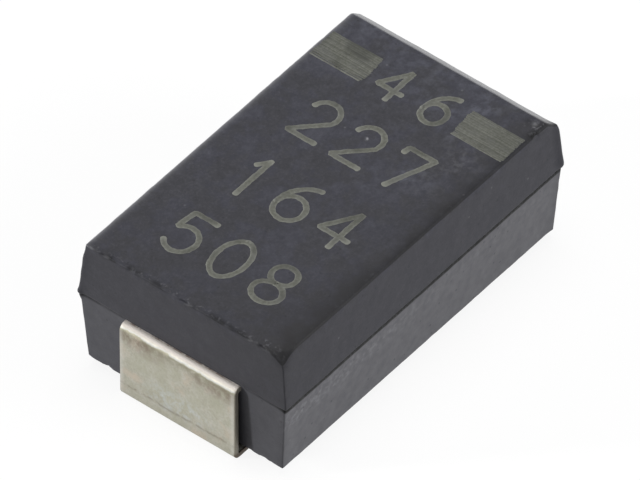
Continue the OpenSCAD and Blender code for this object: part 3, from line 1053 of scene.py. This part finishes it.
@dataclass
class LeadFrame:
    """A strip that is folded round the end of the case and steps down inside it.

    Attributes:
        pole: Cathode or anode.
        outer: Distance of the riser's outer face from the middle.
        half_width: Half the width outside the case.
        top: Height of the shoulder's upper face.
        inner: Distance from the middle at which the tongue ends, with its sign.
        step: Distance from the middle of the step's inner face.
        tongue_bottom: Height of the tongue's underside.
        tongue_half_width: Half the tongue's width.
        thickness: Thickness of the strip.
        bend_radius: Outer radius of its bends.
        foot_length: Length of the foot under the case.
        cut_radius: Radius of the strip's cut edges.
        lean: Shift of the strip's outside along Y.
        spacing: Distance between the sections on its straight stretches.
    """

    pole: Pole
    outer: float
    half_width: float
    top: float
    inner: float
    step: float
    tongue_bottom: float
    tongue_half_width: float
    thickness: float = 0.1
    bend_radius: float = 0.12
    foot_length: float = 1.3
    cut_radius: float = 0.016
    lean: float = -0.012
    spacing: float = 0.05

    @classmethod
    def from_frame(cls, pole: Pole) -> "LeadFrame":
        """Takes the sizes from the CAD lead frame and what its tongue touches inside.

        The plating makes the strip a little wider and higher than the CAD strip. The wire sinks
        into the anode tongue's groove.
        """
        plating, groove, thickness = 0.012, 0.02, cls.thickness
        low, high = box_mm(f"{pole.name.lower()}_lead_frame")
        inner, outer = sorted(pole.value * np.array([low[0], high[0]]))
        if pole is Pole.CATHODE:
            step, tongue_top, tongue_half_width = 3.09, box_mm("silver_adhesive")[0][2], high[1]
        else:
            step, tongue_top, tongue_half_width = 2.89, box_mm("anode_wire")[0][2] + groove, 0.6
        return cls(pole, outer, high[1] + plating, high[2] + plating, inner, step,
                   tongue_top - thickness, tongue_half_width)

    def centre_line(self) -> Array:
        """Middle of the strip's section, from the foot's end to the tongue's end.

        Straight stretches are joined by quarter circles whose radius is the bend radius less
        half the thickness. The line is drawn towards +X.

        Returns:
            Points as distance from the middle and height.
        """
        half = self.thickness / 2
        radius = self.bend_radius - half
        corners = [(self.outer - self.foot_length, half), (self.outer - half, half),
                   (self.outer - half, self.top - half), (self.step + half, self.top - half),
                   (self.step + half, self.tongue_bottom + half),
                   (self.inner, self.tongue_bottom + half)]
        path = [np.array(corners[0])[None]]
        for before, corner, after in zip(corners, corners[1:], corners[2:]):
            before, corner, after = (np.array(p, float) for p in (before, corner, after))
            come = (corner - before) / np.linalg.norm(corner - before)
            leave = (after - corner) / np.linalg.norm(after - corner)
            last, start = path[-1][-1], corner - come * radius
            count = max(int(np.linalg.norm(start - last) / self.spacing), 2)
            turn = np.linspace(0, math.pi / 2, 9)[1:, None]
            bend = start + radius * (come * np.sin(turn) + leave * (1 - np.cos(turn)))
            path += [np.linspace(last, start, count + 1)[1:], bend]
        path.append(np.linspace(path[-1][-1], corners[-1], 24)[1:])
        return np.concatenate(path)

    def section(self, half_width: float) -> Array:
        """Section of the strip: a rectangle whose corners are rounded by the cutting.

        Args:
            half_width: Half its width.

        Returns:
            Points round it, as place across and offset from the middle.
        """
        half, radius = self.thickness / 2, self.cut_radius
        flat = (np.linspace(-1, 1, 41) * (half_width - radius))[1:-1]
        angle = np.linspace(0, math.pi / 2, 5)
        out, up = radius * np.sin(angle), radius * np.cos(angle)
        right = np.concatenate([
            np.column_stack([half_width - radius + out, half - radius + up]),
            np.column_stack([half_width - radius + up, radius - half - out])])
        top = np.column_stack([flat, np.full_like(flat, half)])
        return np.concatenate([top, right, -top, -right])

    def build(self, tin: TinPlate) -> bpy.types.Object:
        """Builds and dresses the strip: its section carried along its centre line.

        Args:
            tin: Finish of the strip.

        Returns:
            The lead frame piece.
        """
        line = self.centre_line()
        heading = np.gradient(line, axis=0)
        heading /= np.linalg.norm(heading, axis=1, keepdims=True)
        outward = np.column_stack([heading[:, 1], -heading[:, 0]])
        inside = smooth_step(-line[:, 0], -self.step - 0.2, -self.step - 0.1)
        wide, narrow = self.section(self.half_width), self.section(self.tongue_half_width)
        section = wide + (narrow - wide) * inside[:, None, None]
        section = np.concatenate([section[:1] * [1, 0], section, section[-1:] * [1, 0]])
        line, outward = (np.concatenate([row[:1], row, row[-1:]]) for row in (line, outward))
        places = line[:, None, :] + outward[:, None, :] * section[..., 1:]
        across = section[..., 0] + self.lean * (1 - np.concatenate([[0], inside, [1]]))[:, None]
        points = np.stack([places[..., 0] * self.pole.value, across, places[..., 1]], -1)
        rings, around = points.shape[:2]
        points = points.reshape(-1, 3)
        quads = tube_faces(rings, around)
        ripple = 0.004 * layered_noise(points, 0.8, 61) + 0.0012 * lattice_noise(points, 0.12, 67)
        points[:, 0] += ripple * smooth_step(np.abs(points[:, 0]), self.outer - 0.2, self.outer)
        name = "cathode_terminal" if self.pole is Pole.CATHODE else "anode_terminal"
        piece = make_piece(name, points, quads)
        piece.data.materials.append(tin.material())
        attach(piece, "root")
        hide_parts(f"{self.pole.name.lower()}_lead_frame")
        return piece


# ---------------------------------------------------------------- laser marking


# Pen strokes of the digits, in a cell 1 high with the baseline at 0 and X from the cell's middle.
# Each stroke is a chain of stretches. Four numbers are a straight stretch: the X and Y of its
# start and of its end. Six are an arc: the X and Y of its middle, its half width and half
# height, and the angles in degrees at which it starts and ends.
STROKES = {
    "0": [[(0, 0.5, 0.31, 0.5, 95, 455)]],
    "1": [[(-0.14, 0.80, 0.02, 0.98)], [(0.02, 1.0, 0.02, 0.0)]],
    "2": [[(0, 0.70, 0.29, 0.30, 165, -25), (0.26, 0.57, -0.31, 0.0), (-0.31, 0.0, 0.31, 0.0)]],
    "4": [[(0.14, 0.0, 0.14, 1.0), (0.14, 1.0, -0.31, 0.30), (-0.31, 0.30, 0.33, 0.30)]],
    "5": [[(0.28, 1.0, -0.22, 1.0), (-0.22, 1.0, -0.27, 0.56),
           (-0.01, 0.33, 0.31, 0.33, 135, -145)]],
    "6": [[(0.31, 0.36, 0.61, 0.64, 100, 180), (0, 0.31, 0.30, 0.31, 180, 540)]],
    "7": [[(-0.30, 0.86, -0.28, 1.0), (-0.28, 1.0, 0.31, 1.0), (0.31, 1.0, -0.06, 0.0)]],
    "8": [[(0, 0.76, 0.25, 0.24, -90, 270), (0, 0.26, 0.30, 0.26, 90, 450)]],
}


def stretch_points(stretch: tuple[float, ...]) -> Array:
    """Points along one stretch of a pen stroke, straight or an arc."""
    if len(stretch) == 4:
        return np.linspace(stretch[:2], stretch[2:], 14)
    angle = np.radians(np.linspace(*stretch[4:], 40))
    return stretch[:2] + np.array(stretch[2:4]) * np.column_stack([np.cos(angle), np.sin(angle)])


@dataclass
class Trace:
    """A burnt line on the top face.

    Attributes:
        grid: Its points in millimetres, rings by places round.
        across: Distance of each from the line's middle, as a share of its half width.
        tone: How light the burn is at each, from -1 to 1.
    """

    grid: Array
    across: Array
    tone: Array


@dataclass
class LaserMarking:
    """Polarity bars and plain numbers burnt into the top face.

    Attributes:
        case: The case whose top face carries them.
        bar_low: Lowest corner of the two bars.
        bar_high: Highest corner of the two bars.
        bar_width: Length of a bar across the case.
        pen_half: Half the width of a digit's trace.
        scan_pitch: Distance between a bar's scan lines.
        spacing: Distance between the points along a trace.
        caps: Points along each round end of a trace.
        rooted: Height of a trace's underside, as a share of its lift.
        rows: Each row's digits, the X of their feet, their height and their pitch.
    """

    case: MouldedCase
    bar_low: Array
    bar_high: Array
    bar_width: float = 1.01
    pen_half: float = 0.053
    scan_pitch: float = 0.05
    spacing: float = 0.018
    caps: int = 6
    rooted: float = -1.5
    rows: tuple[tuple[str, float, float, float], ...] = (
        ("46", 2.07, 0.74, 0.92), ("227", 0.56, 0.90, 0.90), ("164", -1.10, 0.90, 0.90),
        ("508", -2.74, 0.90, 0.90))

    @classmethod
    def from_frame(cls, case: MouldedCase) -> "LaserMarking":
        """Takes the place of the bars from the CAD bars."""
        low, high = box_mm("polarity_bars")
        return cls(case, low, high)

    def trace(self, path: Array, half_width: float, lift: float, seed: int,
              tone: float = 0.0) -> Trace:
        """Burnt trace along a pen stroke: a flat dome with round ends, closed below the skin.

        The section across is the height lift times 1 - v^4 above the skin, for v from -1 to 1,
        and returns below it. Past each end of the stroke the width falls as a half circle, and
        just before it the trace is wider, where the beam turned on or off.

        Args:
            path: Points of the stroke on the top face, as X and Y.
            half_width: Half the trace's width.
            lift: Height of the trace over the skin.
            seed: Number that picks the raggedness.
            tone: How light the burn is, from -1 to 1.

        Returns:
            The trace.
        """
        path = path[np.r_[True, np.linalg.norm(np.diff(path, axis=0), axis=1) > 1e-6]]
        along = np.r_[0, np.cumsum(np.linalg.norm(np.diff(path, axis=0), axis=1))]
        count = max(int(along[-1] / self.spacing), 12)
        body = np.linspace(0, along[-1], count)
        centre = np.column_stack([np.interp(body, along, path[:, k]) for k in (0, 1)])
        heading = np.gradient(centre, axis=0)
        heading /= np.linalg.norm(heading, axis=1, keepdims=True)
        cap = np.cos(np.linspace(0, math.pi / 2, self.caps + 1)[:-1])
        shrink = np.sqrt(np.maximum(1 - cap**2, 0))
        past = half_width * cap[:, None]
        centre = np.concatenate([centre[:1] - past * heading[:1], centre,
                                 centre[-1:] + past[::-1] * heading[-1:]])
        heading = np.pad(heading, ((self.caps, self.caps), (0, 0)), "edge")
        scale = np.concatenate([shrink, np.ones(count), shrink[::-1]])
        rings = np.arange(len(scale))
        scale *= 1 + 0.22 * bell(np.minimum(rings, rings[::-1]) * self.spacing, 0.10)
        side = np.column_stack([-heading[:, 1], heading[:, 0]])[:, None, :]
        v = np.array([-1, -0.8, -0.45, 0, 0.45, 0.8, 1, 0.7, 0, -0.7])
        rise = np.array([0, 0.59, 0.96, 1, 0.96, 0.59, 0, *3 * [self.rooted]])
        place = centre[:, None, :] + side * (half_width * v)[None, :, None] * scale[:, None, None]
        spread = np.full(place.shape[:2], seed * 3.7)
        ragged = lattice_noise(np.dstack([place, spread]), 0.05, seed)
        place += side * (v[None, :] * ragged * 0.14 * half_width)[..., None]
        height = self.case.surface(place[..., 0], place[..., 1]) + lift * rise[None, :]
        grid = np.dstack([place, height])
        return Trace(grid, np.broadcast_to(np.abs(v), grid.shape[:2]),
                     np.full(grid.shape[:2], tone))

    def piece(self, name: str, traces: list[Trace]) -> bpy.types.Object:
        """Joins traces into one piece, with their tones weakened in faint patches.

        Args:
            name: Name of the piece.
            traces: What it is made of.

        Returns:
            The piece, without a material.
        """
        starts = np.cumsum([0] + [trace.across.size for trace in traces])
        quads = [tube_faces(*trace.across.shape) + start for trace, start in zip(traces, starts)]
        points = np.concatenate([trace.grid.reshape(-1, 3) for trace in traces])
        across, tone = (np.concatenate([getattr(trace, key).ravel() for trace in traces])
                        for key in ("across", "tone"))
        tone = tone - 0.42 * smooth_step(layered_noise(points, 0.30, 61), 0.02, 0.50)
        tone -= 0.16 * smooth_step(-points[:, 1], 1.3, 1.7)
        made = make_piece(name, points, np.concatenate(quads), {"across": across, "tone": tone})
        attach(made, "root")
        return made

    def bar_traces(self, side: int) -> list[Trace]:
        """Scan lines that fill one polarity bar, over a weaker burn that fills their gaps.

        The lines' inner ends follow a slow wave, and each line drifts a little.

        Args:
            side: 1 for the bar at +Y, -1 for the one at -Y.

        Returns:
            The traces.
        """
        low, high, outer = self.bar_low[0], self.bar_high[0], self.bar_high[1]
        inner = outer - self.bar_width
        jitter = np.random.default_rng(7 + side)
        middle, half, rim = (low + high) / 2, (high - low) / 2 - 0.06, low + 0.024
        bed = np.linspace([middle, side * (inner + half)], [middle, side * (outer - half)], 30)
        edge = np.linspace([rim, side * (inner + 0.01)], [rim, side * outer], 40)
        traces = [self.trace(bed, half, 0.0022, 90, -0.45),
                  self.trace(edge, 0.016, 0.0045, 95, 0.15)]
        for k, x in enumerate(np.arange(low + 0.075, high - 0.02, self.scan_pitch)):
            lobe = 0.022 * math.sin(7.0 * x + side) + 0.008 * math.sin(21.0 * x)
            ends = side * (np.array([inner + lobe, outer]) + jitter.normal(0, 0.004, 2))
            path = np.linspace(*np.column_stack([x + jitter.normal(0, 0.004, 2), ends]), 40)
            width = 0.025 * (1 + 0.10 * jitter.normal())
            traces.append(self.trace(path, width, 0.0040 + 0.0004 * (k % 3), 100 + k,
                                     0.11 * jitter.normal() - 0.22))
        return traces

    def build(self, burn: BurntEpoxy) -> list[bpy.types.Object]:
        """Builds and dresses the bars and the numbers.

        Args:
            burn: Finish of the marking.

        Returns:
            The pieces.
        """
        bars = self.piece("burnt_polarity_bars", self.bar_traces(1) + self.bar_traces(-1))
        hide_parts("polarity_bars")
        numbers = []
        for text, baseline, height, pitch in self.rows:
            for k, digit in enumerate(text):
                column = ((len(text) - 1) / 2 - k) * pitch
                numbers += self.digit_traces(digit, baseline, column, height)
        pieces = [bars, self.piece("burnt_numbers", numbers)]
        material = burn.material()
        for made in pieces:
            made.data.materials.append(material)
        return pieces

    def digit_traces(self, digit: str, baseline: float, column: float,
                     height: float) -> list[Trace]:
        """Traces of one digit, with its top towards +X and its right towards -Y.

        They are lighter at the ends of each stroke, where the beam dwelt.

        Args:
            digit: The digit.
            baseline: X of its foot.
            column: Y of its middle.
            height: Its height.

        Returns:
            The traces.
        """
        traces = []
        for k, stroke in enumerate(STROKES[digit]):
            right, up = height * np.concatenate([stretch_points(part) for part in stroke]).T
            path = np.column_stack([baseline + up, column - right])
            made = self.trace(path, self.pen_half, 0.004 + 0.0008 * k, ord(digit) + 10 * k)
            steps = np.linalg.norm(np.diff(made.grid.mean(axis=1), axis=0), axis=1)
            run = np.r_[0, np.cumsum(steps)]
            made.tone += 0.75 * bell(np.minimum(run, run[-1] - run), 0.09)[:, None]
            traces.append(made)
        return traces


# ---------------------------------------------------------------- sealed element


def dress_sealed_element() -> None:
    """Gives each CAD piece that is sealed in the case the finish of its real material."""
    metal = 1.0
    finishes = {
        "anode_wire": GrainedSolid("drawn_tantalum", "7d8086", "9a9da3", 0.05, 0.35, metal),
        "wire_washer": GrainedSolid("ptfe", "e4e4df", "f4f4f0", 0.08, 0.45),
        "anode_pellet": GrainedSolid("sintered_tantalum", "45434a", "6a6770", 0.02, 0.8, metal),
        "polymer_coat": GrainedSolid("conductive_polymer", "141824", "252b3c", 0.04, 0.5),
        "carbon_coat": GrainedSolid("carbon_paint", "1f1f1f", "343434", 0.03, 0.85),
        "silver_coat": GrainedSolid("silver_paint", "b4b4b0", "d0d0cc", 0.03, 0.55, metal),
        "silver_adhesive": GrainedSolid("silver_filled_epoxy", "969690", "b6b6b0", 0.04, 0.5,
                                        metal),
    }
    for node, finish in finishes.items():
        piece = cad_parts[node]
        material = finish.material()
        if not piece.data.materials:
            piece.data.materials.append(material)
        for place in piece.material_slots:
            place.material = material
        LOG.info("dressed sealed piece %s", node)


# ---------------------------------------------------------------- studio


def placed(right: Array, up: Array, back: Array, place: Array) -> Matrix:
    """Matrix of an object from its axes and its place in millimetres."""
    return Matrix([*np.vstack([right, up, back, place * MM]).T.tolist(), [0, 0, 0, 1]])


@dataclass
class Studio:
    """Pale floor, soft lamps, a white surround and the camera.

    Attributes:
        azimuth: Angle of the camera round the part, in degrees; 0 looks along +Y.
        elevation: Its angle over the horizon, in degrees.
        distance: Distance from the camera to its aim, in millimetres.
        aim: Point that the camera looks at, in millimetres.
        frame_offset: Shift of that point to the right and up in the picture, in millimetres.
        lens: Focal length in millimetres.
        ambient: How bright the surround lights the part, where 1 is white.
        floor_bounce: Colour of the floor for the light that it throws back.
        floor_shade: Colour of the floor that the lamps light, as it is seen.
        floor_glow: Brightness that is added to it, so that it is seen as white.
    """

    azimuth: float = -51.02
    elevation: float = 45.38
    distance: float = 286.0
    aim: tuple[float, float, float] = (0.0, 0.0, 1.4)
    frame_offset: tuple[float, float] = (-0.027, -0.029)
    lens: float = 1000.6
    ambient: float = 0.15
    floor_bounce: str = "bcbcbc"
    floor_shade: str = "6c6c6c"
    floor_glow: float = 0.88

    def axes(self) -> tuple[Array, Array, Array]:
        """Unit vectors of the picture's right, its up, and back towards the camera."""
        turn, tilt = math.radians(self.azimuth), math.radians(self.elevation)
        right = np.array([math.cos(turn), math.sin(turn), 0])
        back = np.array([math.sin(turn) * math.cos(tilt), -math.cos(turn) * math.cos(tilt),
                         math.sin(tilt)])
        return right, np.cross(back, right), back

    def camera(self) -> None:
        """Puts the camera at the viewing angle, with a long lens and no shift."""
        right, up, back = self.axes()
        target = np.array(self.aim) + self.frame_offset[0] * right + self.frame_offset[1] * up
        data = bpy.data.cameras.new("camera")
        data.lens = self.lens
        data.clip_start = 0.01
        data.clip_end = 2.0
        eye = bpy.data.objects.new("camera", data)
        eye.matrix_world = placed(right, up, back, target + back * self.distance)
        bpy.context.scene.collection.objects.link(eye)
        bpy.context.scene.camera = eye

    def lamp(self, name: str, towards: tuple[float, float, float], distance: float, size: float,
             strength: float) -> None:
        """Adds a square soft lamp that faces the part.

        Args:
            name: Name of the lamp.
            towards: Direction from the part to the lamp.
            distance: Its distance in millimetres.
            size: Its side in millimetres.
            strength: How bright it makes a white surface that faces it, where 1 is white.
        """
        way = np.array(towards, float) / np.linalg.norm(towards)
        side = np.cross([0, 0, 1], way)
        length = np.linalg.norm(side)
        side = side / length if length > 1e-6 else np.array([1.0, 0, 0])
        data = bpy.data.lights.new(name, "AREA")
        data.size = size * MM
        data.energy = strength * (math.pi * distance * MM) ** 2
        made = bpy.data.objects.new(name, data)
        made.matrix_world = placed(side, np.cross(way, side), way, way * distance)
        bpy.context.scene.collection.objects.link(made)

    def seen(self, tree: Tree) -> Socket:
        """Is 1 for rays of the camera, of reflections and of glass, and 0 for the rest."""
        rays = add_node(tree, "LightPath").node.outputs
        direct = add_node(tree, "Math", {"operation": "MAXIMUM"},
                          {0: rays["Is Camera Ray"], 1: rays["Is Glossy Ray"]})
        return add_node(tree, "Math", {"operation": "MAXIMUM"},
                        {0: direct, 1: rays["Is Transmission Ray"]})

    def surround(self) -> None:
        """World that is seen as white, and lights the part evenly and weakly."""
        world = bpy.data.worlds.new("surround")
        world.use_nodes = True
        tree = world.node_tree
        tree.nodes.clear()
        even = add_node(tree, "Background", {"Color": "ffffff", "Strength": self.ambient})
        white = add_node(tree, "Background", {"Color": "ffffff", "Strength": 1.0})
        both = add_node(tree, "MixShader", links={0: self.seen(tree), 1: even, 2: white})
        add_node(tree, "OutputWorld", links={"Surface": both})
        bpy.context.scene.world = world

    def floor(self) -> None:
        """Pale floor that is seen as white except in the part's shadow."""
        half = 400.0
        points = np.array([[-half, -half, 0], [half, -half, 0], [half, half, 0], [-half, half, 0]])
        made = make_piece("floor", points, np.array([[0, 1, 2, 3]]))
        material, tree = new_material("white_floor")
        plain = add_node(tree, "BsdfDiffuse", {"Color": self.floor_bounce})
        shade = add_node(tree, "BsdfDiffuse", {"Color": self.floor_shade})
        glow = add_node(tree, "Emission", {"Color": "ffffff", "Strength": self.floor_glow})
        white = add_node(tree, "AddShader", links={0: shade, 1: glow})
        both = add_node(tree, "MixShader", links={0: self.seen(tree), 1: plain, 2: white})
        add_node(tree, "OutputMaterial", links={"Surface": both})
        made.data.materials.append(material)

    def build(self) -> None:
        """Builds the whole studio."""
        bpy.context.scene.view_settings.view_transform = "Standard"
        self.camera()
        self.surround()
        self.floor()
        self.lamp("left_softbox", (-1.0, 0.93, 0.28), 120, 14, 0.80)
        self.lamp("right_softbox", (0.45, -1.0, 0.45), 120, 70, 0.60)
        self.lamp("top_softbox", (0.1, 0.1, 1.0), 140, 90, 0.44)


def main() -> None:
    """Builds every piece in order."""
    logging.basicConfig(level=logging.INFO, format="%(message)s")
    Studio().build()
    case = MouldedCase.from_frame()
    pieces = [case.build(MouldedEpoxy())]
    for pole in Pole:
        lead = LeadFrame.from_frame(pole)
        pieces.append(lead.build(TinPlate(lead.outer, lead.top, lead.half_width)))
    pieces += LaserMarking.from_frame(case).build(BurntEpoxy())
    for piece in pieces:
        LOG.info("built %s: %d faces", piece.name, len(piece.data.polygons))
    dress_sealed_element()


if __name__ == "__main__":
    main()
